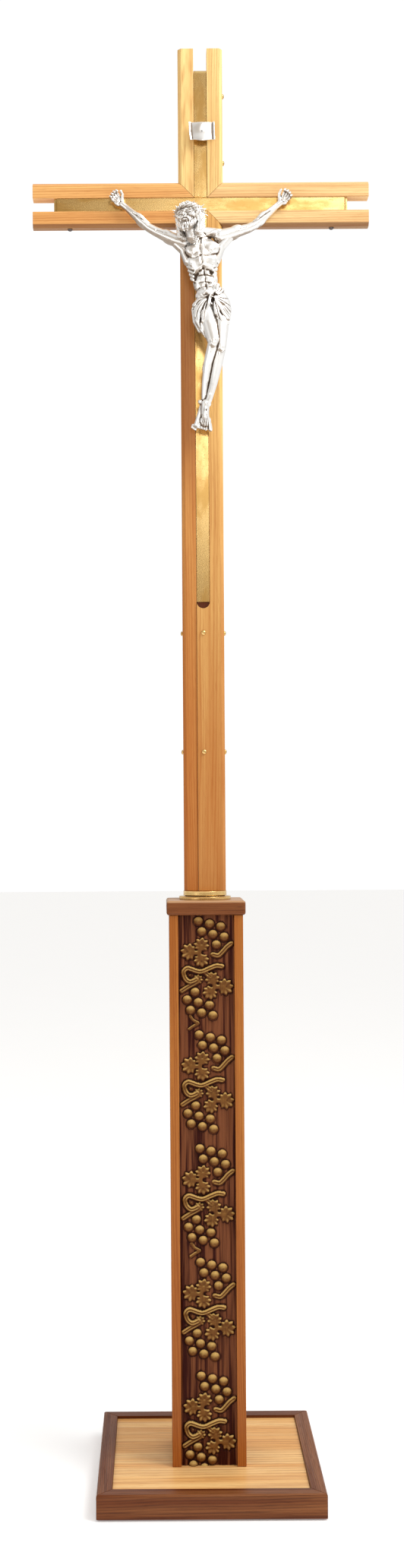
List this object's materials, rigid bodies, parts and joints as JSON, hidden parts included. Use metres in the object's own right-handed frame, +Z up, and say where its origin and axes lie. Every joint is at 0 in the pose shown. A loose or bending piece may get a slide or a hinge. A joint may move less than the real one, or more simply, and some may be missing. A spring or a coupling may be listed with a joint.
{
  "type": "altar cross",
  "caption": "Processional crucifix of banded oak and brass with a cast silver figure, standing by a round tenon in a square carved column on a framed base.",
  "frame": {"origin": "centre of the stand's underside, on the floor", "axes": "+Z up along the shaft, -Y towards the front with the figure, +X to the viewer's right"},
  "size_m": [0.472, 0.305, 2.005],
  "materials": {
    "oak": "clear satin varnish on golden oak",
    "pale_oak": "clear satin varnish on pale oak",
    "walnut": "satin varnished walnut",
    "carved_walnut": "carved and bronzed walnut with a dark ground",
    "inner_wood": "bare inner softwood",
    "brass": "satin brushed brass",
    "silver": "polished cast silver with dark patina in the hollows",
    "steel": "plain steel",
    "felt": "dark green felt",
    "fibre": "dark fibre sheet"
  },
  "bodies": {
    "stand": {"ballast_plate": "steel", "base_felt": "felt", "base_frame_back": "walnut", "base_frame_front": "walnut", "base_frame_left": "walnut", "base_frame_right": "walnut", "base_panel": "pale_oak", "carved_panel_back": "carved_walnut", "carved_panel_front": "carved_walnut", "carved_panel_left": "carved_walnut", "carved_panel_right": "carved_walnut", "collar_flange": "brass", "column_bolt": "steel", "column_bottom_block": "inner_wood", "column_cap": "walnut", "column_post_back_left": "oak", "column_post_back_right": "oak", "column_post_front_left": "oak", "column_post_front_right": "oak", "column_top_block": "inner_wood", "socket_tube": "brass"},
    "swivel": {"thrust_washer": "fibre"},
    "cross": {"arm_core": "oak", "arm_rail_left_lower": "oak", "arm_rail_left_upper": "oak", "arm_rail_right_lower": "oak", "arm_rail_right_upper": "oak", "arm_screw_left": "brass", "arm_screw_right": "brass", "brass_strip_arms": "brass", "brass_strip_head": "brass", "brass_strip_shaft": "brass", "corpus_arm_left": "silver", "corpus_arm_right": "silver", "corpus_body": "silver", "corpus_stud_lower": "brass", "corpus_stud_upper": "brass", "ferrule_disc": "brass", "front_screw_lower": "brass", "front_screw_upper": "brass", "head_core": "oak", "head_pin_lower": "brass", "head_pin_upper": "brass", "head_rail_left": "oak", "head_rail_right": "oak", "nail_feet": "silver", "nail_left_hand": "silver", "nail_right_hand": "silver", "scroll_pin": "silver", "shaft_board": "oak", "shaft_left_rail": "oak", "shaft_pin_lower": "brass", "shaft_pin_upper": "brass", "tenon_rod": "steel", "title_scroll": "silver"}
  },
  "joints": [
    {"name": "turn", "type": "hinge", "parent": "stand", "child": "swivel", "pos_m": [0, 0, 0.8159], "axis": [0, 0, 1], "continuous": true},
    {"name": "lift", "type": "slide", "parent": "swivel", "child": "cross", "axis": [0, 0, 1], "range_m": [0, 0.2]}
  ]
}
